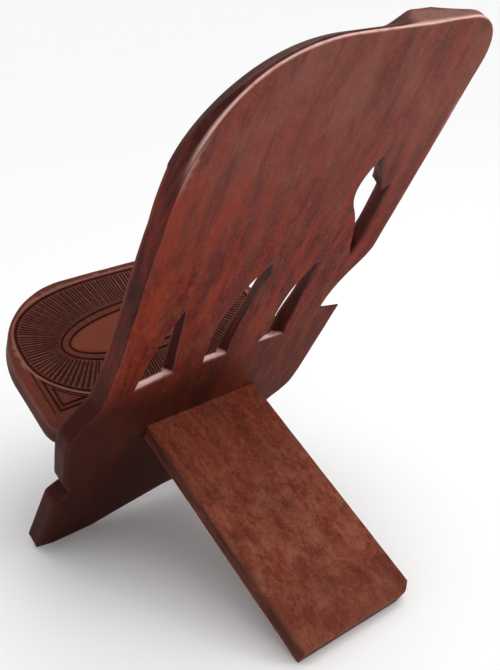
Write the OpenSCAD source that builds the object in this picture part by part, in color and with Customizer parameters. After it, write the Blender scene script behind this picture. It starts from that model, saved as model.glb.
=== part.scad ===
// Slotted two-board stand. The back board is a plank sawn to an elephant's
// silhouette seen from behind. The seat board is a plank with a carved plate and a
// tail: the tail passes through a slot in the back board and rests on the ground
// behind it. Nothing fastens the boards, and the seat board pulls out forwards.
// Lengths are in millimetres. Each board is drawn flat, in two coordinates whose
// origin is the middle of the slot's top edge, and then turned to its lean.

/* [Stand] */
// Thickness of the back board
board_t = 18; // [16:0.5:20]
// Thickness of the seat board
seat_t = 19; // [16:0.5:20]
// Lean of the back board from vertical, and rise of the seat board from horizontal
lean = 30; // [27:1:33]
// Clearance between the tail and the slot, on each side
slot_gap = 0.4; // [0.3:0.1:1]
// Clearance between the seat's shoulders and the back board
stop_gap = 0.3; // [0.2:0.1:0.6]

/* [Back board] */
// Half of the board's overall width
half_w = 149; // [146:1:153]
// Height of the top edge above the slot, along the board
top_h = 377; // [371:1:386]
// Height of the sills of the slits between the legs above the slot, along the board
sill_h = 69; // [66:1:71]
// How far each sill drops from the back face to the front face
sill_drop = 18; // [6:1:18]
// Width of the bevel on the front of the rump and neck, measured across the front face
bevel_w = 9; // [4:0.5:11]
// Width of the bevel on the front of the crown
crown_bevel_w = 6; // [4:0.5:10]
// Depth of wood worn off the feet where they stand
sole_wear = 7; // [5:0.5:9]

/* [Seat board] */
// Half of the seat plate's width
seat_half_w = 137; // [134:1:140]
// Distance from the back face of the back board to the seat's front edge
seat_front = 184; // [182:1:190]
// Radius of the seat plate's front corners
corner_r = 91; // [80:1:95]
// Radius of the seat plate's shoulders
shoulder_r = 22; // [14:1:26]
// Width of the tail
tail_w = 120; // [114:1:122]
// Length of the tail behind the back board
tail_l = 231; // [226:1:236]
// Height of the flat worn on the tail's lower edge
tail_flat = 2.1; // [1.5:0.1:3]

/* [Seat carving] */
// Depth of the carved lines
carve_d = 1.6; // [1:0.1:2.5]
// Width of the carved border lines
line_w = 2.2; // [1.6:0.1:3]
// Half of the sunburst's width
burst_a = 122; // [118:1:124]
// Length of the sunburst from its centre to the front
burst_front = 68; // [66:1:70]
// Length of the sunburst from its centre to the back
burst_back = 71; // [68:1:72]
// Half of the oval's width
oval_a = 86; // [80:1:90]
// Spacing of the rays along the border, where they are closest
ray_gap = 3.3; // [3.2:0.1:4.5]
// Width of each ray
ray_w = 1.3; // [1:0.1:1.5]

/* [Hidden] */

// Height of the slot's top edge, on the back face, above the ground
rise = tail_l * sin(lean) + seat_t * cos(lean) - tail_flat;
// Depth along the board at which its back face meets the ground
ground_d = rise / cos(lean);
// Depth of the lowest point of each foot before it is worn flat
foot_d = ground_d + sole_wear;
// How far the tail's end is sawn out of square, on each side
tail_skew = 2;
// Front and back limits of the stand, which place the origin midway between them
front_y = -(seat_front * cos(lean) + seat_t * sin(lean));
back_y = (tail_l + tail_skew) * cos(lean);
centre_y = -(front_y + back_y) / 2;

// Elephant outline: rump, back and forehead on the board
rump = [107, 235];
back_top = [0, top_h - 4];
neck = [-47, top_h - 2.6];
crown = [-70, top_h - 0.7];
brow = [-(half_w - 35), top_h];
trunk_top = [-half_w, top_h - 34];
trunk_low = [-(half_w - 12), 156];
// Sunburst centre, how squarish its front is, and its oval
burst_y = 105;
front_square = 2.8;
oval_b = 31;
oval_band = 8;
// Outer corner of the panels beside the back of the sunburst
panel_x = 122;
panel_y = 44;
// Gap from the sunburst's border to a panel, and from each line of a panel to the next
panel_gap = 3;
panel_step = 4.5;
// Ends of the line carved beside each panel
side_front = [125.6, 92];
side_back = [126.4, 42];
// Sides cut into the round carved outlines
carve_steps = 72;
// Spare length by which every cut passes its face
over = 1;
// Colour of the oiled wood
wood = [0.36, 0.15, 0.10];

// Cubic curve from a to d, pulled towards b and c
function curve(a, b, c, d, n = 10) = [
    for (i = [0:n]) let (t = i / n, u = 1 - t)
        u * u * u * a + 3 * u * u * t * b + 3 * u * t * t * c + t * t * t * d
];

// Quarter turn of radius r about c, starting at angle a
function quarter(c, r, a, n = 12) = [
    for (i = [0:n]) c + r * [cos(a + 90 * i / n), sin(a + 90 * i / n)]
];

// Whole ellipse about the sunburst's centre
function ellipse(a, b) = [
    for (i = [0:carve_steps - 1]) let (t = 360 * i / carve_steps)
        [a * cos(t), burst_y + b * sin(t)]
];

// Point of the sunburst's border at angle t, moved out by grow: squarish in front, an ellipse behind
function border(t, grow = 0) = let (
    power = sin(t) > 0 ? 2 / front_square : 1,
    b = (sin(t) > 0 ? burst_front : burst_back) + grow
) [
    (burst_a + grow) * sign(cos(t)) * pow(abs(cos(t)), power),
    burst_y + b * sign(sin(t)) * pow(abs(sin(t)), power)
];

function border_loop(grow) = [
    for (i = [0:carve_steps - 1]) border(360 * i / carve_steps, grow)
];

function top_curve() = curve(rump, [108, 318], [76, top_h - 8], back_top, 16);

function forehead() = curve(brow, [brow.x - 18, top_h], [-half_w, top_h - 14], trunk_top, 8);

function back_outline() = concat(
    // foot, ankle and ground edge below the rump
    [[0, -(ground_d - 18)], [12, -(ground_d - 18)], [113, -foot_d], [half_w, -(foot_d - 12)],
     [141, -71], [129, -62], [131, -56], [136, -46], [142, 4], [141, 24]],
    // rear leg, rump and back
    curve([119, 54], [108, 110], [112, 190], rump),
    top_curve(),
    // forehead, trunk and the trunk's curled tip
    forehead(),
    curve(trunk_low, [-131, 136], [-108, 128], [-104, 90]),
    // ground edge below the trunk, ankle and foot
    [[-131, 83], [-121, -6], [-117, -25], [-107, -36], [-95, -44], [-89, -54],
     [-118, -84], [-(half_w - 4), -(foot_d - 12)], [-113, -foot_d], [-12, -(ground_d - 18)]]
);

// Gap between the hind legs
function slit_rear() = concat(
    curve([89, sill_h - 5], [84, 95], [78, 125], [62, 151]),
    curve([62, 151], [59, 135], [57, 100], [52, sill_h + 1])
);

// Gap under the belly
function slit_belly() = concat(
    curve([22, sill_h], [27, 115], [18, 146], [-12, 175]),
    curve([-18, 162], [-9, 140], [-3, 110], [-4, sill_h])
);

// Gap between the fore legs
function slit_fore() = concat(
    [[-36, sill_h]],
    curve([-45, 79], [-43, 104], [-46, 140], [-69, 159]),
    curve([-69, 159], [-72, 125], [-66, 95], [-70, sill_h - 1])
);

// Gap between the fore leg and the trunk, with the tusk pointing down into it
function slit_trunk() = concat(
    curve([-110, 153], [-98, 170], [-98, 192], [-85, 210], 6),
    curve([-85, 210], [-76, 222], [-66, 236], [-86, 264], 6),
    [[-94, 249], [-103, 235], [-105, 227]],
    curve([-114, 233], [-116, 215], [-118, 175], [-110, 153], 6)
);

// Places a board drawn flat, standing on its edge with its thickness towards the front
module lean_back() {
    translate([0, centre_y, rise]) rotate([90 - lean, 0, 0]) children();
}

// Places a board drawn flat, lying with its length towards the front and depth downwards
module lie_forward() {
    translate([0, centre_y, rise]) rotate([180 - lean, 0, 0]) children();
}

// Everything below the ground
module ground() {
    translate([-300, -400, -100]) cube([600, 800, 100]);
}

// Cut through the back board with a flat outline
module through(outline) {
    translate([0, 0, -over]) linear_extrude(board_t + 2 * over) polygon(outline);
}

// Slope from a slit's sill, which runs from a to b, down to the front face
module sill(a, b) {
    slope = [[0, 0], [over, 0], [over, board_t + over],
             [-sill_drop * (board_t + over) / board_t, board_t + over]];
    translate([b.x, b.y, 0]) rotate([0, 0, atan2(a.y - b.y, a.x - b.x)])
        rotate([90, 0, 90]) linear_extrude(norm(a - b)) polygon(slope);
}

// One flat of a bevel, on the front of the edge that runs from p to q
module bevel(p, q, width) {
    along = q - p;
    start = 2;
    spare = 2;
    translate([p.x, p.y, start]) rotate([0, 0, atan2(-along.y, -along.x)])
        rotate([atan2(width, board_t - start), 0, 0])
            translate([-norm(along) - spare, 0, -start])
                cube([norm(along) + 2 * spare, 40, board_t * 2]);
}

// Bevel that grows from nothing on the rump to its full width on the back
module back_bevel() {
    edge = top_curve();
    first = 4;
    full = 10;
    for (i = [first:len(edge) - 2])
        bevel(edge[i], edge[i + 1], bevel_w * min(1, (i - first + 1) / (full - first)));
}

// Bevel on the neck, which ends in a ramp up to the crown
module neck_bevel() {
    low = top_h - 30;
    intersection() {
        bevel(back_top, crown, bevel_w);
        linear_extrude(board_t * 2)
            polygon([[10, low], [neck.x + 12, low], neck - [0, bevel_w], crown,
                     crown + [0, 10], [10, top_h + 10]]);
    }
}

// Bevel that grows from nothing on the crown to its full width on the forehead
module crown_bevel() {
    edge = concat([crown, [-92, top_h - 0.4]], forehead());
    for (i = [0:len(edge) - 3])
        bevel(edge[i], edge[i + 1], crown_bevel_w * min(1, (i + 0.5) / 2.5));
}

module slot() {
    translate([-tail_w / 2 - slot_gap, -seat_t - slot_gap, -over])
        cube([tail_w + 2 * slot_gap, seat_t + 2 * slot_gap, board_t + 2 * over]);
}

module back_board() color(wood) difference() {
    lean_back() difference() {
        linear_extrude(board_t) polygon(back_outline());
        slot();
        through(slit_rear());
        through(slit_belly());
        through(slit_fore());
        through(slit_trunk());
        sill([89, sill_h - 5], [52, sill_h + 1]);
        sill([22, sill_h], [-4, sill_h]);
        sill([-36, sill_h], [-70, sill_h - 1]);
        back_bevel();
        neck_bevel();
        crown_bevel();
    }
    ground();
}

function seat_outline() = let (
    w = seat_half_w, r = shoulder_r, back = board_t + stop_gap, half = tail_w / 2,
    corner_x = w - corner_r, corner_y = seat_front - corner_r, end_y = -tail_l
) concat(
    // shoulder, front corners and the other shoulder
    quarter([w - r, back + r], r, 270, 8),
    quarter([corner_x, corner_y], corner_r, 0, 20),
    quarter([-corner_x, corner_y], corner_r, 90, 20),
    quarter([r - w, back + r], r, 180, 8),
    // tail, sawn slightly askew and with one end corner knocked off
    [[-half, back], [-half, end_y - tail_skew + 7], [-half + 9, end_y - tail_skew],
     [half, end_y + tail_skew], [half, back]]
);

// Recess carved inside an outline
module recess(outline) {
    translate([0, 0, -over]) linear_extrude(carve_d + over) polygon(outline);
}

// Channel carved between two outlines
module channel(outer, inner) {
    translate([0, 0, -over]) linear_extrude(carve_d + over) difference() {
        polygon(outer);
        polygon(inner);
    }
}

// Ring-shaped carved line of the border's width, just outside an ellipse
module ring(a, b) {
    channel(ellipse(a + line_w, b + line_w), ellipse(a, b));
}

// Spacing of the rays at angle t: wider behind the two ends of the sunburst
function spacing(t) = let (up = asin(sin(t)), off = (up + 33) / 20) ray_gap + 2 * exp(-off * off);

// Number of rays passed at each degree round the border, with that angle
function ray_counts() = [
    for (t = 0, n = 0; t <= 360; n = n + norm(border(t + 1) - border(t)) / spacing(t), t = t + 1)
        [n, t]
];

// Angle on an oval of the given size reached from the border at angle t, going nearly
// square to the border
function foot_angle(t, size) = let (
    tip = border(t) - [0, burst_y],
    run = border(t + 0.5) - border(t - 0.5),
    p = [tip.x / size.x, tip.y / size.y],
    d = [-run.y / size.x, run.x / size.y] / norm(run),
    k = (-p * d - sqrt(max(0, pow(p * d, 2) - d * d * (p * p - 1)))) / (d * d),
    square = atan2(p.y + k * d.y, p.x + k * d.x),
    across = atan2(tip.y / burst_back, tip.x / burst_a),
    turn = (square - across + 540) % 360 - 180
) across + 0.6 * turn;

// Rays from the border to the oval, which narrow on the way
module sunburst() {
    size = [oval_a + line_w + 1.5, oval_b + line_w + 1.5];
    counts = ray_counts();
    total = counts[360][0];
    rays = floor(total);
    for (i = [0:rays - 1]) {
        t = lookup((i + 0.5) * total / rays, counts);
        turn = foot_angle(t, size);
        p = [size.x * cos(turn), burst_y + size.y * sin(turn)];
        q = border(t, line_w / 2);
        aim = q - p;
        side = [-aim.y, aim.x] / norm(aim) * ray_w / 2;
        recess([p - side / 2, q - side, q + side, p + side / 2]);
    }
}

// Three-sided panel in the corner behind the sunburst, its straight edges moved in by inset
function panel(inset) = let (
    a = burst_a + line_w + panel_gap + inset / 2,
    b = burst_back + line_w + panel_gap + inset / 2,
    x = panel_x - inset, y = panel_y + inset,
    from = -acos(x / a), to = asin((y - burst_y) / b), n = 10
) concat(
    [[x, y]],
    [for (i = [0:n]) let (t = from + (to - from) * i / n) [a * cos(t), burst_y + b * sin(t)]]
);

module corner_panel() {
    channel(panel(0), panel(line_w));
    channel(panel(panel_step), panel(panel_step + line_w));
    recess(panel(2 * panel_step));
    half = [ray_w / 2, 0];
    recess([side_front - half, side_front + half, side_back + half, side_back - half]);
}

module seat_board() color(wood) difference() {
    lie_forward() difference() {
        linear_extrude(seat_t) polygon(seat_outline());
        channel(border_loop(line_w), border_loop(0));
        ring(oval_a, oval_b);
        ring(oval_a - oval_band, oval_b - oval_band);
        sunburst();
        corner_panel();
        mirror([1, 0, 0]) corner_panel();
    }
    ground();
}

back_board();
seat_board();
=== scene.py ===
"""Slotted two-board stand in dark oiled wood: an elephant back board and a carved seat board."""
import math

import bmesh
import bpy
import numpy as np
from mathutils import Matrix, Vector, noise
from mathutils.geometry import delaunay_2d_cdt
from mathutils.kdtree import KDTree


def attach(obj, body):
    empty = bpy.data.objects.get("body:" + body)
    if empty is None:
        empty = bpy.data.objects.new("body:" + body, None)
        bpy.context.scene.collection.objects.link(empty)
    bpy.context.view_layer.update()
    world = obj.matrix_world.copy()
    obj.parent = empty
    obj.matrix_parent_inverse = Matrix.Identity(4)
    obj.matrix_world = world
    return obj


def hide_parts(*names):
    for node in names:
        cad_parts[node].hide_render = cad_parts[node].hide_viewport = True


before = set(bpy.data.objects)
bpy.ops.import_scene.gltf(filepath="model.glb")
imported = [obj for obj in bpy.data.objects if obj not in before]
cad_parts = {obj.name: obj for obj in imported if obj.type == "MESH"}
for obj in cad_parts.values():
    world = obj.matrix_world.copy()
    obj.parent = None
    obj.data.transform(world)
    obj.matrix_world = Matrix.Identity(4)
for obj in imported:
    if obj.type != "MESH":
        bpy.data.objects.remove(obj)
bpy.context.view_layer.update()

# Both boards are drawn flat, in millimetres. u runs across a board, v along it and w into it
# from its back or top face. The origin is the middle of the slot's top edge.
MM = 0.001
LEAN = math.radians(30)
BOARD_T = 18.0
SEAT_T = 19.0
HALF_W = 149.0
TOP_H = 377.0
SILL_H = 69.0
SILL_DROP = 18.0
SOLE_WEAR = 7.0
SLOT_GAP = 0.4
SEAT_HALF_W = 137.0
SEAT_FRONT = 184.0
CORNER_R = 91.0
SHOULDER_R = 22.0
SHOULDER_V = 18.3
TAIL_W = 120.0
TAIL_L = 231.0
TAIL_SKEW = 2.0
TAIL_FLAT = 2.1

RISE = TAIL_L * math.sin(LEAN) + SEAT_T * math.cos(LEAN) - TAIL_FLAT
GROUND_V = -RISE / math.cos(LEAN)
FOOT_V = GROUND_V - SOLE_WEAR
FRONT_Y = -(SEAT_FRONT * math.cos(LEAN) + SEAT_T * math.sin(LEAN))
BACK_Y = (TAIL_L + TAIL_SKEW) * math.cos(LEAN)
SLOT_AT = Vector((0, -(FRONT_Y + BACK_Y) / 2, RISE)) * MM
BOARD_TURN = math.radians(90) - LEAN
SEAT_TURN = math.radians(180) - LEAN

STEP = 2.0          # spacing of the points along an outline
GRID = 3.6          # spacing of the points inside a face
JITTER = 0.18       # share of GRID by which those points are moved at random
CLEAR = 1.5         # distance kept between those points and any line
WALL_ROWS = 5       # rows of faces round the edge of a board
ROUND_STEPS = 4     # rows of faces across a rounded arris
PLAIN_ARRIS_WEAR_AND_HIGHLIGHT = (0.9, 0.5, 0.05, 0.0)      # wear and painted highlight of those rows on a plain arris
SHADED_ARRIS_WEAR_AND_HIGHLIGHT = (0.0, 0.0, 0.1, 0.9)        # and on a rounding darkened by painted shade, with a painted highlight where it meets the face
BEVEL_ROWS = (0.2, 0.4, 0.6, 0.78, 0.92, 1.06)      # places of the rows across a bevel
SHARP_TURN = 48     # degrees of turn above which an outline's corner stays sharp
CREASE = 42         # degrees between faces above which their edge is shaded sharp
SLIVER = 0.001      # area below which a triangle is only a straight run of the outline


# ---------------------------------------------------------------- flat drawing

def cubic(a, b, c, d):
    """Points from a to d on the cubic curve pulled towards b and c."""
    a, b, c, d = (np.array(p, float) for p in (a, b, c, d))
    count = max(3, round(np.linalg.norm(d - a) / STEP))
    t = np.linspace(0, 1, count + 1)[:, None]
    s = 1 - t
    return s**3 * a + 3 * s * s * t * b + 3 * s * t * t * c + t**3 * d


def quarter(centre, radius, start):
    """Points on the quarter turn about centre that starts at an angle in degrees."""
    count = max(4, round(radius * math.pi / 2 / STEP))
    angle = np.radians(start + np.linspace(0, 90, count + 1))
    return np.array(centre) + radius * np.column_stack([np.cos(angle), np.sin(angle)])


def corners(*points):
    return np.array(points, float)


def dense(*parts):
    """Closed outline through the parts, its straight runs cut into even steps."""
    points = np.vstack(parts)
    outline = []
    for a, b in zip(points, np.roll(points, -1, axis=0)):
        gap = np.linalg.norm(b - a)
        if gap < 0.05:
            continue
        count = max(1, round(gap / STEP))
        outline += [a + (b - a) * i / count for i in range(count)]
    return np.array(outline)


def turning(loop):
    """Angle in degrees by which an outline turns at each point."""
    before = loop - np.roll(loop, 1, axis=0)
    after = np.roll(loop, -1, axis=0) - loop
    cross = before[:, 0] * after[:, 1] - before[:, 1] * after[:, 0]
    return np.degrees(np.arctan2(cross, (before * after).sum(1)))


def soften(loop):
    """Smooths an outline but keeps the points where it turns sharply."""
    kept = np.abs(turning(loop)) > SHARP_TURN
    for _ in range(4):
        smooth = (np.roll(loop, 1, axis=0) + 2 * loop + np.roll(loop, -1, axis=0)) / 4
        loop = np.where(kept[:, None], loop, smooth)
    return loop


def wind(loop, hole):
    """The outline in the direction that keeps the wood on its left."""
    u, v = loop[:, 0], loop[:, 1]
    area = (u * np.roll(v, -1) - v * np.roll(u, -1)).sum()
    return loop[::-1] if (area > 0) == hole else loop


def into_wood(loop):
    """Mitred step from each point of an outline into the wood, for a distance of 1 mm."""
    before = loop - np.roll(loop, 1, axis=0)
    after = np.roll(loop, -1, axis=0) - loop
    before /= np.linalg.norm(before, axis=1)[:, None]
    after /= np.linalg.norm(after, axis=1)[:, None]
    normal = np.column_stack([-before[:, 1] - after[:, 1], before[:, 0] + after[:, 0]])
    normal /= np.linalg.norm(normal, axis=1)[:, None]
    across = np.column_stack([-before[:, 1], before[:, 0]])
    return normal / np.maximum((normal * across).sum(1), 0.5)[:, None]


def segments(loops):
    """Starts and ends of all the outlines' sides."""
    starts = np.vstack(loops)
    ends = np.vstack([np.roll(loop, -1, axis=0) for loop in loops])
    return starts, ends


def distance(points, starts, ends):
    """Distance from each point to the nearest of the lines, sampled along their length."""
    spacing = 0.3
    counts = np.ceil(np.linalg.norm(ends - starts, axis=1) / spacing).astype(int) + 1
    samples = [a + (b - a) * i / n for a, b, n in zip(starts, ends, counts) for i in range(n)]
    tree = KDTree(len(samples))
    for number, (u, v) in enumerate(samples):
        tree.insert((u, v, 0), number)
    tree.balance()
    return np.array([tree.find((u, v, 0))[2] for u, v in points])


def inside(points, starts, ends):
    """Which points lie in the wood, by counting the lines crossed on the way out."""
    found = np.zeros(len(points), bool)
    for first in range(0, len(points), 500):
        u = points[first:first + 500, 0:1]
        v = points[first:first + 500, 1:2]
        spans = (starts[:, 1] > v) != (ends[:, 1] > v)
        rise = np.where(ends[:, 1] == starts[:, 1], 1, ends[:, 1] - starts[:, 1])
        cross_u = starts[:, 0] + (v - starts[:, 1]) * (ends[:, 0] - starts[:, 0]) / rise
        found[first:first + 500] = (spans & (u < cross_u)).sum(1) % 2 == 1
    return found


def ripple(points, size, seed):
    """Smooth noise from 0 to 1 over the flat drawing, with features of about that size."""
    return np.array([0.5 + 0.5 * noise.noise((u / size, v / size, seed)) for u, v in points])


def ramp(values, start, end):
    """0 before start, 1 after end, and a smooth rise between them."""
    t = np.clip((values - start) / (end - start), 0, 1)
    return t * t * (3 - 2 * t)


# ---------------------------------------------------------------- one broad face of a board

class Rim:
    """One outline of a face: its arris's radius, its wear with a painted highlight, how much
    painted shade its rounding gets, and the width and depth of its bevel."""

    def __init__(self, loop, radius, wear_and_highlight, dark=0.0, bevel=None):
        self.loop = loop
        self.step = into_wood(loop)
        self.radius = radius * (0.75 + 0.5 * ripple(loop, 16, 1.5))
        self.wear_and_highlight = np.broadcast_to(wear_and_highlight, len(loop))
        self.dark = np.broadcast_to(dark, len(loop))
        self.bevel = np.zeros((len(loop), 2)) if bevel is None else bevel
        self.plain = self.bevel[:, 0] == 0


class Face:
    """Points and lines of one broad face. Depth is measured from the face into the wood.
    carve marks the floor of a cut, darkened as residue and painted shade, wear a pale worn arris
    with a painted highlight, and side the painted shade on the edge."""

    def __init__(self, *rims):
        self.loops = [rim.loop for rim in rims]
        self.points = []
        self.depth = []
        self.carve = []
        self.wear_and_highlight = []
        self.side = []
        self.lines = []
        self.starts, self.ends = segments(self.loops)
        for rim in rims:
            self.line(rim.loop, np.maximum(rim.bevel[:, 1], rim.radius),
                      wear_and_highlight=0.5 * rim.wear_and_highlight * (1 - rim.dark), side=np.maximum(rim.dark, ~rim.plain))
        for rim in rims:
            self.round_arris(rim)
            self.cut_bevel(rim)

    def add(self, points, depth, carve=0.0, wear_and_highlight=0.0, side=0.0):
        first = len(self.points)
        count = len(points)
        self.points += [tuple(p) for p in points]
        self.depth += list(np.broadcast_to(depth, count))
        self.carve += list(np.broadcast_to(carve, count))
        self.wear_and_highlight += list(np.broadcast_to(wear_and_highlight, count))
        self.side += list(np.broadcast_to(side, count))
        return list(range(first, first + count))

    def line(self, points, depth, carve=0.0, wear_and_highlight=0.0, side=0.0):
        """A closed line that the face's triangles follow."""
        numbers = self.add(points, depth, carve, wear_and_highlight, side)
        self.join([*numbers, numbers[0]])

    def join(self, numbers):
        self.lines += list(zip(numbers, numbers[1:]))

    def add_inset(self, rim, chosen, offset, depth, wear_and_highlight, side):
        """A row of points set in from part of an outline, left out where it crowds others."""
        points = rim.loop[chosen] + rim.step[chosen] * offset[:, None]
        clear = distance(points, self.starts, self.ends) > 0.96 * offset
        clear &= inside(points, self.starts, self.ends)
        self.add(points[clear], depth[clear], 0.0, wear_and_highlight[clear], side[clear])

    def round_arris(self, rim):
        """Rows across a rounded arris. A plain one gets wear and a painted highlight on its turn,
        and one darkened by painted shade gets them only where it meets the face."""
        radius = rim.radius[rim.plain]
        dark = rim.dark[rim.plain]
        for i in range(1, ROUND_STEPS + 1):
            angle = math.pi / 2 * i / ROUND_STEPS
            plain_wear_and_highlight = PLAIN_ARRIS_WEAR_AND_HIGHLIGHT[i - 1]
            wear_and_highlight = rim.wear_and_highlight[rim.plain] * (plain_wear_and_highlight + (SHADED_ARRIS_WEAR_AND_HIGHLIGHT[i - 1] - plain_wear_and_highlight) * dark)
            self.add_inset(rim, rim.plain, radius * (1 - math.cos(angle)),
                           radius * (1 - math.sin(angle)), wear_and_highlight, dark * (i < ROUND_STEPS))

    def cut_bevel(self, rim):
        """Rows across a bevel, down to the arris on its outer side. All but its two outermost rows
        get painted shade, and all a little wear with a painted highlight.
        """
        cut = ~rim.plain
        width, depth = rim.bevel[cut].T
        for share in BEVEL_ROWS:
            self.add_inset(rim, cut, width * share, np.maximum(depth * (1 - share), 0),
                           0.3 * rim.wear_and_highlight[cut], np.full(cut.sum(), float(share < 0.9)))

    def incise(self, centre, width, depth):
        """V cut along an open line, running out to nothing at both ends."""
        centre = np.array(centre, float)
        along = np.gradient(centre, axis=0)
        along /= np.linalg.norm(along, axis=1)[:, None]
        side = np.column_stack([-along[:, 1], along[:, 0]]) * width / 2
        first, last = self.add(centre[[0, -1]], 0.1)
        middle = slice(1, -1)
        self.join([first, *self.add(centre[middle] + side[middle], 0.15, 0.1), last])
        self.join([first, *self.add(centre[middle], depth, 1.0), last])
        self.join([first, *self.add(centre[middle] - side[middle], 0.15, 0.1), last])

    def fill(self, seed):
        """Scatters points over the rest of the face."""
        low = self.starts.min(0)
        high = self.starts.max(0)
        rows = np.arange(low[1], high[1], GRID * math.sqrt(3) / 2)
        grid = []
        for row, v in enumerate(rows):
            u = np.arange(low[0] + (row % 2) * GRID / 2, high[0], GRID)
            grid.append(np.column_stack([u, np.full(len(u), v)]))
        grid = np.vstack(grid)
        rng = np.random.default_rng(seed)
        grid += rng.uniform(-JITTER, JITTER, grid.shape) * GRID
        grid = grid[inside(grid, self.starts, self.ends)]
        points = np.array(self.points)
        pairs = np.array(self.lines)
        far = distance(grid, points[pairs[:, 0]], points[pairs[:, 1]]) > CLEAR
        loose = np.setdiff1d(np.arange(len(points)), pairs.ravel())
        if len(loose):
            far &= distance(grid, points[loose], points[loose]) > CLEAR
        self.add(grid[far], 0.0)

    def triangles(self):
        """The face's triangles as point numbers, and the flat points that they use."""
        flat = [Vector(p) for p in self.points]
        found = delaunay_2d_cdt(flat, self.lines, [], 0, 1e-6, True)
        source = np.array([origin[0] if origin else -1 for origin in found[3]])
        crossed = [tuple(round(x) for x in found[0][i]) for i in np.flatnonzero(source < 0)]
        if crossed:
            raise ValueError(f"carved lines cross near {crossed[:5]}")
        faces = source[np.array(found[2])]
        a, b, c = np.array(self.points)[faces].transpose(1, 0, 2)
        area = (b - a)[:, 0] * (c - a)[:, 1] - (b - a)[:, 1] * (c - a)[:, 0]
        faces = faces[np.abs(area) > SLIVER]
        middles = np.array(self.points)[faces].mean(1)
        return faces[inside(middles, self.starts, self.ends)]


# ---------------------------------------------------------------- a board as one closed mesh

class Board:
    """Closed mesh made of two broad faces and the edge between them. shade gives how much painted
    shade the edge gets at each point of the outlines."""

    def __init__(self, thickness, back, front, uneven, shade):
        self.coords = []
        self.carve = []
        self.wear_and_highlight = []
        self.side = []
        self.shade = shade
        self.faces = []
        self.add_face(back, thickness, uneven, front=False)
        first = len(self.coords)
        self.add_face(front, thickness, uneven, front=True)
        self.add_edge(back, first)

    def add_face(self, face, thickness, uneven, front):
        first = len(self.coords)
        points = np.array(face.points)
        hollow = uneven * ripple(points, 34, 3.5 if front else 7.5)
        hollow += 0.4 * uneven * ripple(points, 11, 5.5)
        depth = np.array(face.depth) + hollow
        w = thickness - depth if front else depth
        self.coords += [(u, v, d) for (u, v), d in zip(face.points, w)]
        self.carve += face.carve
        self.wear_and_highlight += face.wear_and_highlight
        # Points on a face's darkened roundings and bevels carry painted shade, scaled by shade.
        self.side += [side * self.shade(u, v) for side, (u, v) in zip(face.side, points)]
        for a, b, c in face.triangles():
            self.faces.append((first + a, first + b, first + c) if front
                              else (first + c, first + b, first + a))

    def add_edge(self, back, front_first):
        """Rows of faces from each outline on the back face to the same one on the front."""
        start = 0
        for loop in back.loops:
            count = len(loop)
            top = range(start, start + count)
            bottom = range(front_first + start, front_first + start + count)
            step = into_wood(loop)
            rows = [list(top)]
            for row in range(1, WALL_ROWS):
                rows.append(self.add_row(top, bottom, row / WALL_ROWS, step))
            rows.append(list(bottom))
            for upper, lower in zip(rows, rows[1:]):
                for i in range(count):
                    j = (i + 1) % count
                    self.faces.append((upper[i], upper[j], lower[j], lower[i]))
            start += count

    def add_row(self, top, bottom, share, step):
        """A row of points between two outlines. Where the edge slopes, it is a rubbed sill with a
        painted highlight; elsewhere the edge gets painted shade, and a pale painted tint where that
        shade is light, as on the sunlit crown.
        """
        first = len(self.coords)
        for a, b, away in zip(top, bottom, step):
            start, end = Vector(self.coords[a]), Vector(self.coords[b])
            p = start.lerp(end, share)
            hollow = 0.22 * (0.5 + 0.5 * noise.noise(p / 9))
            self.coords.append((p.x + away[0] * hollow, p.y + away[1] * hollow, p.z))
            dark = self.shade(start.x, start.y)
            # The sill gets wear and a painted highlight in place of painted shade.
            sill = ramp(start.y - end.y, 12, 15) * (away[1] < -0.8)
            self.wear_and_highlight.append(max(sill, 0.12 * (1 - dark)))
            self.side.append((1 - sill) * dark)
        self.carve += [0.0] * len(top)
        return list(range(first, first + len(top)))

    def build(self, name, turn):
        """The board as an object at rest, cut level where it stands on the ground."""
        mesh = bpy.data.meshes.new(name)
        place = Matrix.Translation(SLOT_AT) @ Matrix.Rotation(turn, 4, "X")
        mesh.from_pydata([place @ (Vector(p) * MM) for p in self.coords], [], self.faces)
        for layer, values in (("carve", self.carve), ("wear_and_highlight", self.wear_and_highlight), ("side", self.side)):
            attribute = mesh.attributes.new(layer, "FLOAT", "POINT")
            attribute.data.foreach_set("value", np.array(values, np.float32))
        cut_at_ground(mesh)
        mesh.shade_smooth()
        mesh.set_sharp_from_angle(angle=math.radians(CREASE))
        made = bpy.data.objects.new(name, mesh)
        bpy.context.scene.collection.objects.link(made)
        return made


def cut_at_ground(mesh):
    """Cuts off what is below the ground and closes the cut as flat soles."""
    shape = bmesh.new()
    shape.from_mesh(mesh)
    everything = shape.verts[:] + shape.edges[:] + shape.faces[:]
    bmesh.ops.bisect_plane(shape, geom=everything, dist=1e-6, plane_co=(0, 0, 0),
                           plane_no=(0, 0, -1), clear_outer=True)
    open_edges = [edge for edge in shape.edges if edge.is_boundary]
    soles = bmesh.ops.holes_fill(shape, edges=open_edges, sides=0)["faces"]
    bmesh.ops.triangulate(shape, faces=soles)
    bmesh.ops.recalc_face_normals(shape, faces=shape.faces[:])
    shape.to_mesh(mesh)
    shape.free()


# ---------------------------------------------------------------- back board

RUMP = (107, 235)
BACK_TOP = (0, TOP_H - 4)
NECK = (-47, TOP_H - 2.6)
CROWN = (-70, TOP_H - 2.2)
BROW = (-(HALF_W - 35), TOP_H)
TRUNK_TOP = (-HALF_W, TOP_H - 34)
TRUNK_LOW = (-(HALF_W - 12), 156)


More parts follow.
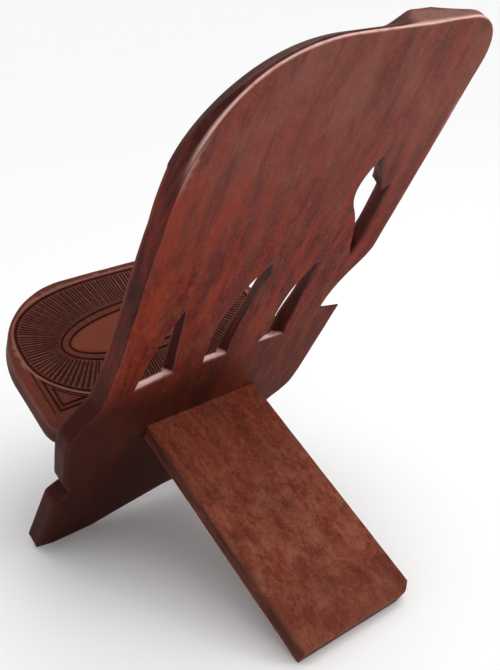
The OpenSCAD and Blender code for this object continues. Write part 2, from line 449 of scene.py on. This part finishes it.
def elephant_outline():
    return soften(dense(
        corners((0, GROUND_V + 18), (12, GROUND_V + 18), (113, FOOT_V), (HALF_W, FOOT_V + 12),
                (141, -71), (129, -62), (131, -56), (136, -46), (142, 4), (141, 24)),
        cubic((119, 54), (108, 110), (112, 190), RUMP),
        cubic(RUMP, (108, 318), (76, TOP_H - 8), BACK_TOP),
        corners(NECK, CROWN, (-92, TOP_H - 0.8)),
        cubic(BROW, (BROW[0] - 18, TOP_H), (-HALF_W, TOP_H - 14), TRUNK_TOP),
        cubic(TRUNK_LOW, (-131, 136), (-108, 128), (-104, 90)),
        corners((-131, 83), (-121, -6), (-117, -25), (-107, -36), (-95, -44), (-89, -54),
                (-118, -84), (-(HALF_W - 4), FOOT_V + 12), (-113, FOOT_V),
                (-12, GROUND_V + 18)),
    ))


def leg_slits():
    """Gaps between the legs, each with the two ends of its sill, and how far its wall leans
    out at the sill and higher up."""
    rear = dense(cubic((89, SILL_H - 5), (84, 95), (78, 125), (62, 151)),
                 cubic((62, 151), (59, 135), (57, 100), (52, SILL_H + 1)))
    belly = dense(cubic((22, SILL_H), (27, 115), (18, 146), (-12, 175)),
                  cubic((-18, 162), (-9, 140), (-3, 110), (-4, SILL_H)))
    fore = dense(corners((-36, SILL_H)),
                 cubic((-45, 79), (-43, 104), (-46, 140), (-69, 159)),
                 cubic((-69, 159), (-72, 125), (-66, 95), (-70, SILL_H - 1)))
    return [(rear, (52, SILL_H + 1), (89, SILL_H - 5), (2, 5)),
            (belly, (-4, SILL_H), (22, SILL_H), (4, 12)),
            (fore, (-70, SILL_H - 1), (-36, SILL_H), (0, 9))]


def trunk_slit():
    """Gap between the fore leg and the trunk, with the tusk pointing down into it."""
    return dense(cubic((-110, 153), (-98, 170), (-98, 192), (-85, 210)),
                 cubic((-85, 210), (-76, 222), (-66, 236), (-86, 264)),
                 corners((-94, 249), (-103, 235), (-105, 227)),
                 cubic((-114, 233), (-116, 215), (-118, 175), (-110, 153)))


def slot_outline():
    half = TAIL_W / 2 + SLOT_GAP
    return dense(corners((half, SLOT_GAP), (-half, SLOT_GAP),
                         (-half, -SEAT_T - SLOT_GAP), (half, -SEAT_T - SLOT_GAP)))


def front_slit(loop, low, high, splay):
    """A slit's outline on the front face: its sill has dropped and one wall leans out."""
    u, v = loop.T
    share = np.clip((high[0] - u) / (high[0] - low[0]), 0, 1)
    sill = high[1] + share * (low[1] - high[1])
    above = v - sill
    fall = SILL_DROP * (1 - np.clip(above / 9, 0, 1))
    facing = np.where(above > 0.5, into_wood(loop)[:, 0] < 0, share)
    splay = splay[0] + (splay[1] - splay[0]) * ramp(above, 0, 48)
    lean = splay * facing * (1 - ramp(v, v.max() - 14, v.max()))
    return loop - np.column_stack([lean, fall])


def front_leaf(loop):
    """The leaf's outline on the front face, where the wall beside the trunk leans out."""
    u, v = loop.T
    middle = -104 + 0.3 * (v - 190)
    lean = 5 * ramp(middle - u, 0, 5) * ramp(v, 155, 180) * (1 - ramp(v, 240, 264))
    return loop - np.column_stack([lean, np.zeros(len(loop))])


def front_outline(outline):
    """The board's outline on the front face: the crown is higher there, and the ground's top
    below the trunk has dropped like the slits' sills."""
    u, v = outline.T
    crown = ramp(-u, 46, 62) * (1 - ramp(-u, 62, 104)) * ramp(v, 340, 350)
    ledge = ramp(-u, 92, 96) * ramp(v, 20, 83) * (1 - ramp(v, 90, 125))
    return outline + np.column_stack([np.zeros(len(u)), 0.7 * crown - SILL_DROP * ledge])


def top_bevel(outline):
    """Width and depth of the bevel on the front, which grows up the rump and back, ends on
    the neck, and grows again from the crown to the forehead."""
    u, v = outline.T
    back = ramp(v, 276, 366) * ramp(u, -66, -40)
    crown = 0.65 * ramp(-u, 72, 124) * ramp(v, TOP_H - 40, TOP_H - 20)
    share = np.where(v > 270, np.maximum(back, crown), 0)
    share = np.where(share > np.where(u > 0, 0.01, 0.06), share, 0)
    return np.column_stack([10 * share, np.where(share > 0, 1.4 + 12.4 * share, 0)])


def carve_elephant(face):
    """Lines carved on the front: ear, eye, mouth, trunk folds, leg folds and toenails."""
    lines = [
        cubic((-78, 352), (-30, 352), (-22, 300), (-38, 262)),
        cubic((-40, 258), (-52, 236), (-66, 268), (-82, 300)),
        cubic((-83, 304), (-88, 322), (-88, 338), (-81, 349)),
        cubic((-126, 322), (-120, 329), (-112, 329), (-106, 321)),
        cubic((-125, 319), (-119, 314), (-113, 314), (-107, 318)),
        cubic((-98, 270), (-106, 276), (-116, 272), (-122, 264)),
        cubic((98, 236), (101, 200), (100, 150), (103, 112)),
        cubic((60, 160), (52, 186), (58, 214), (76, 232)),
        cubic((-66, 168), (-54, 186), (-50, 206), (-54, 226)),
    ]
    for v in (176, 189, 202, 216, 230, 246, 263):
        edge = -133 - (v - 156) * 0.065
        lines.append(cubic((edge, v), (edge + 4, v - 5), (-126, v - 6), (-121.5, v - 3)))
    for leg in (-87, -20, 37, 103):
        for toe in (leg - 8.5, leg, leg + 8.5):
            lines.append(cubic((toe - 3, 43), (toe - 3.2, 51), (toe + 3.2, 51), (toe + 3, 43)))
    lines.append(np.column_stack([np.linspace(-116, 121, 90), np.full(90, 38.0)]))
    for line in lines:
        face.incise(line, 2.0, 1.2)


def board_shade(u, v):
    """Painted shade on the edges everywhere but on the sunlit crown."""
    return 1 - 0.95 * ramp(-u, 46, 66) * ramp(v, 345, 352)


def make_back_board():
    outline = wind(elephant_outline(), hole=False)
    leaf = wind(soften(trunk_slit()), hole=True)
    slot = wind(slot_outline(), hole=True)
    # Up the rump and along the top the back arris gets wear and a painted highlight; lower down its
    # rounding gets painted shade.
    top = ramp(outline[:, 1], 262, 322)
    wear_and_highlight = 0.02 + 0.98 * top
    back_rims = [Rim(outline, 1.3 + 0.4 * top, wear_and_highlight, 1 - top)]
    front_rims = [Rim(front_outline(outline), 1.4, 0.04, bevel=top_bevel(outline))]
    for slit, low, high, splay in leg_slits():
        loop = wind(soften(slit), hole=True)
        back_rims.append(Rim(loop, 0.9, 0.12))
        front_rims.append(Rim(front_slit(loop, low, high, splay), 0.9, 0.12))
    back_rims += [Rim(leaf, 1.1, 0.12), Rim(slot, 0.6, 0.1)]
    front_rims += [Rim(front_leaf(leaf), 1.1, 0.12), Rim(slot, 0.6, 0.1)]

    back = Face(*back_rims)
    back.fill(seed=11)
    front = Face(*front_rims)
    carve_elephant(front)
    front.fill(seed=12)
    board = Board(BOARD_T, back, front, uneven=0.3, shade=board_shade)
    return board.build("back_board_wood", BOARD_TURN)


# ---------------------------------------------------------------- seat board

BURST_A = 122.0
BURST_FRONT = 68.0
BURST_BACK = 71.0
BURST_V = 105.0
OVAL_A = 86.0
OVAL_B = 31.0
OVAL_BAND = 8.0
CARVE_D = 1.6
LINE_W = 2.5
PANEL_U = 122.0
PANEL_V = 44.0
PANEL_STEP = 4.5


def seat_outline():
    back = SHOULDER_V
    w, r, half, end = SEAT_HALF_W, SHOULDER_R, TAIL_W / 2, -TAIL_L
    corner = (w - CORNER_R, SEAT_FRONT - CORNER_R)
    return soften(dense(
        quarter((w - r, back + r), r, 270),
        quarter(corner, CORNER_R, 0),
        quarter((-corner[0], corner[1]), CORNER_R, 90),
        quarter((r - w, back + r), r, 180),
        corners((-half, back), (-half, end - TAIL_SKEW + 7), (-half + 9, end - TAIL_SKEW),
                (half, end + TAIL_SKEW), (half, back)),
    ))


def border(angle, grow=0.0):
    """Points of the sunburst's border: squarish in front, an ellipse behind."""
    c, s = np.cos(angle), np.sin(angle)
    square = np.where(s > 0, 2 / 2.8, 1.0)
    reach = np.where(s > 0, BURST_FRONT, BURST_BACK) + grow
    u = (BURST_A + grow) * np.sign(c) * np.abs(c) ** square
    return np.column_stack([u, BURST_V + reach * np.sign(s) * np.abs(s) ** square])


def oval(a, b):
    angle = np.linspace(0, 2 * math.pi, 400, endpoint=False)
    return np.column_stack([a * np.cos(angle), BURST_V + b * np.sin(angle)])


def even(loop, step):
    """The closed loop again, with its points an even step apart."""
    closed = np.vstack([loop, loop[:1]])
    run = np.concatenate([[0], np.cumsum(np.linalg.norm(np.diff(closed, axis=0), axis=1))])
    at = np.linspace(0, run[-1], round(run[-1] / step), endpoint=False)
    return np.column_stack([np.interp(at, run, closed[:, 0]), np.interp(at, run, closed[:, 1])])


def border_loop(grow):
    angle = np.linspace(0, 2 * math.pi, 1200, endpoint=False)
    return border(angle, grow)


def carve_ring(face, loop_at, inner, width):
    """Round-bottomed line between two sizes of a closed loop."""
    for share, depth, carve in ((0, 0.2, 0.2), (0.3, CARVE_D, 1), (0.7, CARVE_D, 1), (1, 0.2, 0.2)):
        face.line(even(loop_at(inner + share * width), 2.4), depth, carve)


def ray_spacing(loop):
    """Distance between rays at each point of the border: wider behind the two ends."""
    u = np.abs(loop[:, 0]) / BURST_A
    angle = np.degrees(np.arctan2((loop[:, 1] - BURST_V) / BURST_BACK, u))
    return 3.3 + 2.0 * np.exp(-((angle + 33) / 20) ** 2)


def ray_ends():
    """Outer and inner ends of the rays, which are nearly square to the border."""
    rng = np.random.default_rng(5)
    loop = even(border_loop(-0.6), 0.25)
    count = np.cumsum(0.25 / ray_spacing(loop))
    wanted = np.arange(0.5, int(count[-1])) + rng.uniform(-0.12, 0.12, int(count[-1]))
    at = np.interp(wanted * count[-1] / int(count[-1]), count, np.arange(len(loop))).astype(int)
    tips = loop[at] - (0, BURST_V)
    run = loop[(at + 2) % len(loop)] - loop[at - 2]
    aim = np.column_stack([-run[:, 1], run[:, 0]]) / np.linalg.norm(run, axis=1)[:, None]
    size = np.array([OVAL_A + LINE_W + 1.2, OVAL_B + LINE_W + 1.2])
    square = tips + aim * reach_oval(tips / size, aim / size)[:, None]
    across = np.unwrap(np.arctan2(tips[:, 1] / BURST_BACK, tips[:, 0] / BURST_A))
    hit = np.unwrap(np.arctan2(square[:, 1] / size[1], square[:, 0] / size[0]))
    hit += 2 * math.pi * np.round((across - hit) / (2 * math.pi))
    angle = 0.6 * hit + 0.4 * across
    feet = size * np.column_stack([np.cos(angle), np.sin(angle)])
    return tips + (0, BURST_V), feet + (0, BURST_V)


def reach_oval(tip, aim):
    """Distance along aim from each tip to the unit circle."""
    half_b = (tip * aim).sum(1)
    square = (aim * aim).sum(1)
    return (-half_b - np.sqrt(half_b**2 - square * ((tip * tip).sum(1) - 1))) / square


def carve_rays(face):
    """Rays as V cuts that take up half of the room between their neighbours."""
    rng = np.random.default_rng(6)
    tips, feet = ray_ends()
    shares = np.array([0.05, 0.28, 0.5, 0.72, 0.95])
    centres = tips[:, None] + (feet - tips)[:, None] * shares[:, None]
    nexts = np.roll(centres, -1, axis=0)
    gaps = np.linalg.norm(nexts - centres, axis=2)
    room = np.minimum(gaps, np.roll(gaps, 1, axis=0))
    for centre, room_here, tip, foot in zip(centres, room, tips, feet):
        cut_ray(face, centre, room_here, tip, foot, rng)
    for crown in (centres + nexts) / 2:
        face.add(crown, 0.05, 0.3, 0.08)


def cut_ray(face, centre, room, tip, foot, rng):
    aim = (foot - tip) / np.linalg.norm(foot - tip)
    side = np.array([-aim[1], aim[0]])
    centre = centre + rng.uniform(-0.06, 0.06, len(centre))[:, None] * room[:, None] * side
    half = (0.29 * room * rng.uniform(0.9, 1.1))[:, None]
    deep = np.minimum(room * 0.42, CARVE_D) * rng.uniform(0.8, 1.0)
    start, end = face.add([tip, foot], 0.35, 0.6)
    face.join([start, *face.add(centre + side * half, 0.3, 0.55), end])
    face.join([start, *face.add(centre, deep, 1.0), end])
    face.join([start, *face.add(centre - side * half, 0.3, 0.55), end])


def panel(inset):
    """Three-sided panel in the corner behind the sunburst, its edges moved in by inset."""
    a = BURST_A + LINE_W + 3 + inset / 2
    b = BURST_BACK + LINE_W + 3 + inset / 2
    u, v = PANEL_U - inset, PANEL_V + inset
    start = -math.acos(u / a)
    end = math.asin((v - BURST_V) / b)
    angle = np.linspace(start, end, 24)
    arc = np.column_stack([a * np.cos(angle), BURST_V + b * np.sin(angle)])
    return np.vstack([[(u, v)], arc])


def carve_panels(face):
    for sign in (1, -1):
        for first in (0, PANEL_STEP):
            for share, depth, carve in ((0, 0.2, 0.2), (0.35, CARVE_D, 1), (0.65, CARVE_D, 1),
                                        (1, 0.2, 0.2)):
                outline = dense(panel(first + share * LINE_W))
                face.line(outline * (sign, 1), depth, carve)
        outline = dense(panel(2 * PANEL_STEP))
        face.line(outline * (sign, 1), 0.2, 0.2)
        side = np.column_stack([np.linspace(125.6, 126.4, 24), np.linspace(92, 42, 24)])
        face.incise(side * (sign, 1), 1.8, 1.1)


def make_seat_board():
    outline = wind(seat_outline(), hole=False)
    plate = ramp(outline[:, 1], 0, 30)
    top = Face(Rim(outline, 1.3 + 1.4 * plate, 0.03 + 0.05 * plate))
    carve_ring(top, border_loop, 0, LINE_W)
    top.line(even(border_loop(LINE_W + 1.6), 2.4), 0.0, wear_and_highlight=0.16)
    carve_ring(top, lambda grow: oval(OVAL_A + grow, OVAL_B + grow), 0, LINE_W)
    carve_ring(top, lambda grow: oval(OVAL_A + grow, OVAL_B + grow), -OVAL_BAND, LINE_W)
    carve_rays(top)
    carve_panels(top)
    top.fill(seed=21)
    bottom = Face(Rim(outline, 1.2, 0.03))
    bottom.fill(seed=22)
    # The seat's edges get painted shade.
    board = Board(SEAT_T, top, bottom, uneven=0.3, shade=lambda u, v: 0.9)
    return board.build("seat_board_wood", SEAT_TURN)


# ---------------------------------------------------------------- materials

NEAR_BLACK = (0.020, 0.005, 0.003)
# painted shade on the boards' edges
EDGE_PAINTED_SHADE = (0.040, 0.009, 0.008)
OLIVE = (0.140, 0.056, 0.028)
# pale worn wood and painted highlight
WORN_WOOD_AND_HIGHLIGHT = (0.78, 0.50, 0.44)
GLOW = (0.22, 0.032, 0.014)
# paler wood standing for painted light on the top
TOP_PAINTED_LIGHT = (0.185, 0.068, 0.052)
RED_STREAK = (0.20, 0.026, 0.012)
DARK_STREAK = (0.062, 0.016, 0.014)
DUST = (0.27, 0.115, 0.068)
TAIL_END = (0.085, 0.020, 0.012)
# painted shade of the back board on the seat plate
PLATE_PAINTED_SHADE = (0.080, 0.020, 0.014)
WARM_OVAL = (0.20, 0.048, 0.020)


class Shader:
    """A material and short names for the nodes it is made of."""

    def __init__(self, name):
        self.material = bpy.data.materials.new(name)
        self.material.use_nodes = True
        self.tree = self.material.node_tree
        self.skin = self.tree.nodes["Principled BSDF"]

    def node(self, kind, **settings):
        made = self.tree.nodes.new(kind)
        for key, value in settings.items():
            setattr(made, key, value)
        return made

    def feed(self, socket, value):
        if isinstance(value, bpy.types.NodeSocket):
            self.tree.links.new(value, socket)
        else:
            socket.default_value = value

    def flat_coords(self, turn):
        """Coordinates of the board's flat drawing, in metres."""
        place = self.node("ShaderNodeMapping", vector_type="TEXTURE")
        self.feed(place.inputs["Vector"], self.node("ShaderNodeTexCoord").outputs["Object"])
        place.inputs["Location"].default_value = SLOT_AT
        place.inputs["Rotation"].default_value = (turn, 0, 0)
        return place.outputs["Vector"]

    def noise(self, coords, scale, detail, roughness, distortion=0.0):
        """Noise from 0 to 1 with a scale for each direction of the board."""
        stretch = self.node("ShaderNodeVectorMath", operation="MULTIPLY")
        self.feed(stretch.inputs[0], coords)
        stretch.inputs[1].default_value = scale
        made = self.node("ShaderNodeTexNoise")
        self.feed(made.inputs["Vector"], stretch.outputs[0])
        made.inputs["Scale"].default_value = 1.0
        made.inputs["Detail"].default_value = detail
        made.inputs["Roughness"].default_value = roughness
        made.inputs["Distortion"].default_value = distortion
        return made.outputs["Fac"]

    def ramp(self, value, *stops):
        """Colour ramp through (position, colour) stops."""
        made = self.node("ShaderNodeValToRGB")
        self.feed(made.inputs["Fac"], value)
        elements = made.color_ramp.elements
        for i, (position, colour) in enumerate(stops):
            element = elements[i] if i < 2 else elements.new(position)
            element.position = position
            element.color = (*colour, 1)
        return made.outputs["Color"]

    def span(self, value, low, high, to_low=0.0, to_high=1.0):
        """The value's place between low and high, as a number from to_low to to_high."""
        made = self.node("ShaderNodeMapRange", clamp=True)
        for socket, number in zip(made.inputs[:5], (value, low, high, to_low, to_high)):
            self.feed(socket, number)
        return made.outputs["Result"]

    def math(self, operation, a, b):
        made = self.node("ShaderNodeMath", operation=operation)
        self.feed(made.inputs[0], a)
        self.feed(made.inputs[1], b)
        return made.outputs[0]

    def mix(self, share, a, b):
        made = self.node("ShaderNodeMix", data_type="RGBA")
        self.feed(made.inputs["Factor"], share)
        self.feed(made.inputs[6], a if isinstance(a, bpy.types.NodeSocket) else (*a, 1))
        self.feed(made.inputs[7], b if isinstance(b, bpy.types.NodeSocket) else (*b, 1))
        return made.outputs[2]

    def attribute(self, name):
        return self.node("ShaderNodeAttribute", attribute_name=name).outputs["Fac"]

    def bump(self, height, strength, distance, normal=None):
        made = self.node("ShaderNodeBump")
        made.inputs["Strength"].default_value = strength
        made.inputs["Distance"].default_value = distance
        self.feed(made.inputs["Height"], height)
        if normal is not None:
            self.feed(made.inputs["Normal"], normal)
        return made.outputs["Normal"]


def make_wood(name, turn, tones, patina):
    """Dark oiled hardwood with its grain along the board, a patina of the board's own, painted
    shade on its edges and in its cuts, and worn arrises with a painted highlight.
    """
    dark, middle, light = tones
    s = Shader(name)
    flat = s.flat_coords(turn)
    carve, wear_and_highlight, side = (s.attribute(layer) for layer in ("carve", "wear_and_highlight", "side"))
    streak = s.noise(flat, (75, 16, 75), 6, 0.62, 0.6)
    mottle = s.noise(flat, (210, 130, 210), 6, 0.72, 0.6)
    fibre = s.noise(flat, (900, 70, 900), 3, 0.6)
    pores = s.span(s.noise(flat, (1300, 130, 1300), 2, 0.5), 0.60, 0.70)
    speckle = s.noise(flat, (520, 380, 520), 3, 0.7)

    tone = s.math("ADD", s.math("MULTIPLY", streak, 0.35), s.math("MULTIPLY", mottle, 0.40))
    tone = s.math("ADD", tone, s.math("MULTIPLY", speckle, 0.25))
    colour = s.ramp(tone, (0.41, dark), (0.59, light), (0.5, middle))
    olive = s.span(s.noise(flat, (42, 30, 42), 6, 0.82, 0.8), 0.48, 0.64)
    colour = s.mix(s.math("MULTIPLY", olive, 0.45), colour, OLIVE)
    colour = s.mix(s.span(fibre, 0.35, 0.7, 0.0, 0.2), colour, dark)
    colour = s.mix(s.math("MULTIPLY", pores, 0.5), colour, NEAR_BLACK)
    colour = patina(s, flat, colour)
    # Painted shade on the edges, on the bevels and on darkened roundings.
    colour = s.mix(s.math("MULTIPLY", side, s.span(streak, 0.40, 0.60, 0.95, 0.45)), colour,
                   EDGE_PAINTED_SHADE)
    # Dark residue in the cuts, with painted shade in their hollows.
    residue_and_shade = s.math("MULTIPLY", carve, s.span(mottle, 0.3, 0.6, 0.65, 0.92))
    colour = s.mix(residue_and_shade, colour, NEAR_BLACK)
    # Pale worn wood with a painted highlight where the mesh marks wear: arrises, sills, ridges and
    # the crown's wall.
    worn_and_lit_patches = s.span(s.noise(flat, (90, 60, 90), 4, 0.65), 0.28, 0.5, 0.45, 1.0)
    colour = s.mix(s.math("MULTIPLY", wear_and_highlight, worn_and_lit_patches), colour, WORN_WOOD_AND_HIGHLIGHT)
    s.feed(s.skin.inputs["Base Color"], colour)

    rough = s.math("ADD", s.span(mottle, 0.3, 0.7, 0.46, 0.60), s.math("MULTIPLY", carve, 0.25))
    s.feed(s.skin.inputs["Roughness"], s.math("SUBTRACT", rough, s.math("MULTIPLY", wear_and_highlight, 0.15)))
    s.skin.inputs["Specular IOR Level"].default_value = 0.045
    soft = s.bump(mottle, 0.30, 0.0006)
    fine = s.bump(s.math("SUBTRACT", fibre, pores), 0.25, 0.0003, soft)
    s.feed(s.skin.inputs["Normal"], fine)
    return s.material


def across_and_along(s, flat):
    """Distances across and along the board from the middle of the slot, in metres."""
    made = s.node("ShaderNodeSeparateXYZ")
    s.feed(made.inputs[0], flat)
    return made.outputs["X"], made.outputs["Y"]


def board_patina(s, flat, colour):
    """Red glow on the rump's side, a top paler with painted light from above, streaks along the
    grain, and grime with painted shade from the slits' sills down to the feet, darkest on the +X
    side."""
    u, v = across_and_along(s, flat)
    patch = s.noise(flat, (17, 9, 17), 5, 0.65, 0.7)
    warm = s.math("MULTIPLY", s.span(u, -0.030, 0.085), s.span(v, 0.350, 0.220))
    glow = s.math("MULTIPLY", s.span(patch, 0.38, 0.66, 0.05, 0.55), warm)
    colour = s.mix(glow, colour, GLOW)
    # Paler towards the top: painted light from above.
    high = s.math("MULTIPLY", s.span(patch, 0.38, 0.60, 0.70, 0.3), s.span(v, 0.190, 0.320))
    colour = s.mix(high, colour, TOP_PAINTED_LIGHT)
    band = s.noise(flat, (60, 9, 60), 4, 0.6, 0.5)
    red = s.math("MULTIPLY", s.span(band, 0.50, 0.62, 0.0, 0.55), s.span(v, 0.330, 0.250))
    colour = s.mix(red, colour, RED_STREAK)
    colour = s.mix(s.span(band, 0.46, 0.36, 0.0, 0.50), colour, DARK_STREAK)
    # Darker from the sills down to the feet and on the +X side: grime and painted shade.
    level = s.math("SUBTRACT", v, s.math("MULTIPLY", patch, 0.09))
    edge = s.span(u, -0.075, 0.005, 0.3, 1.0)
    grime_and_shade = s.math("MULTIPLY", s.span(level, -0.005, 0.060, 0.84, 0.0), edge)
    return s.mix(grime_and_shade, colour, NEAR_BLACK)


def seat_patina(s, flat, colour):
    """Plate darkened by painted shade of the back board, with a warm oval, and dust and dark stains
    on the tail.
    """
    v = across_and_along(s, flat)[1]
    tail = s.span(v, -0.040, -0.100)
    cloud = s.noise(flat, (46, 38, 46), 6, 0.78, 0.3)
    dust = s.math("MULTIPLY", s.span(cloud, 0.46, 0.64, 0.0, 0.36), tail)
    stain = s.math("MULTIPLY", s.span(cloud, 0.50, 0.36, 0.0, 0.26), tail)
    colour = s.mix(dust, s.mix(stain, colour, NEAR_BLACK), DUST)
    colour = s.mix(s.span(v, -0.160, -0.215, 0.0, 0.30), colour, TAIL_END)
    # Painted shade of the back board on the plate.
    colour = s.mix(s.span(v, 0.015, 0.030, 0.0, 0.55), colour, PLATE_PAINTED_SHADE)
    middle = s.node("ShaderNodeVectorMath", operation="SUBTRACT")
    s.feed(middle.inputs[0], flat)
    middle.inputs[1].default_value = (0, BURST_V * MM, 0)
    squashed = s.node("ShaderNodeVectorMath", operation="MULTIPLY")
    s.feed(squashed.inputs[0], middle.outputs[0])
    squashed.inputs[1].default_value = (1 / 0.078, 1 / 0.023, 0)
    reach = s.node("ShaderNodeVectorMath", operation="LENGTH")
    s.feed(reach.inputs[0], squashed.outputs[0])
    return s.mix(s.span(reach.outputs["Value"], 1.03, 0.95, 0.0, 0.5), colour, WARM_OVAL)


def make_floor_paint():
    s = Shader("floor_paint")
    s.skin.inputs["Base Color"].default_value = (0.88, 0.88, 0.88, 1)
    s.skin.inputs["Roughness"].default_value = 0.8
    return s.material


# ---------------------------------------------------------------- studio

def make_floor():
    half = 30
    mesh = bpy.data.meshes.new("floor")
    square = [(-half, -half, 0), (half, -half, 0), (half, half, 0), (-half, half, 0)]
    mesh.from_pydata(square, [], [(0, 1, 2, 3)])
    mesh.materials.append(make_floor_paint())
    floor = bpy.data.objects.new("floor", mesh)
    bpy.context.scene.collection.objects.link(floor)


def make_sun(name, towards, power, softness):
    """Distant light from the given direction, which lights the whole floor evenly."""
    light = bpy.data.lights.new(name, "SUN")
    light.energy = power
    light.angle = math.radians(softness)
    add_light(light, Vector(towards), Vector(towards))


def make_panel_light(name, place, size, power):
    """Round soft light aimed at the stand's middle."""
    light = bpy.data.lights.new(name, "AREA")
    light.shape = "DISK"
    light.size = size
    light.energy = power
    add_light(light, Vector(place), Vector(place) - Vector((0, 0, 0.22)))


def add_light(light, place, towards):
    lamp = bpy.data.objects.new(light.name, light)
    lamp.location = place
    lamp.rotation_euler = towards.to_track_quat("Z", "Y").to_euler()
    bpy.context.scene.collection.objects.link(lamp)


def make_world(strength):
    world = bpy.data.worlds.new("studio")
    world.use_nodes = True
    backdrop = world.node_tree.nodes["Background"]
    backdrop.inputs["Color"].default_value = (1, 1, 1, 1)
    backdrop.inputs["Strength"].default_value = strength
    bpy.context.scene.world = world


def make_camera():
    place = Vector((0.386, 0.537, 0.489))
    target = Vector((-0.015, 0.036, 0.210))
    roll = math.radians(-2.2)
    data = bpy.data.cameras.new("camera")
    data.sensor_fit = "VERTICAL"
    data.sensor_height = 24
    data.sensor_width = 24
    data.lens = 29.88
    camera = bpy.data.objects.new("camera", data)
    turn = (target - place).to_track_quat("-Z", "Y").to_matrix().to_4x4()
    camera.matrix_world = Matrix.Translation(place) @ turn @ Matrix.Rotation(roll, 4, "Z")
    bpy.context.scene.collection.objects.link(camera)
    bpy.context.scene.camera = camera


def make_studio():
    make_floor()
    make_world(0.76)
    make_sun("top_light", (-0.30, 0.20, 0.93), 1.1, 50)
    make_panel_light("key", (-0.95, 1.35, 0.55), 0.8, 11)
    make_camera()
    bpy.context.scene.view_settings.view_transform = "Standard"


# ---------------------------------------------------------------- assembly

BOARD_TONES = ((0.042, 0.006, 0.0045), (0.105, 0.015, 0.0105), (0.19, 0.030, 0.018))
SEAT_TONES = ((0.085, 0.018, 0.010), (0.150, 0.031, 0.017), (0.22, 0.052, 0.028))

back_board = make_back_board()
back_board.data.materials.append(make_wood("back_wood", BOARD_TURN, BOARD_TONES, board_patina))
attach(back_board, "back")
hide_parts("back_board")

seat_board = make_seat_board()
seat_board.data.materials.append(make_wood("seat_wood", SEAT_TURN, SEAT_TONES, seat_patina))
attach(seat_board, "seat")
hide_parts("seat_board")

make_studio()
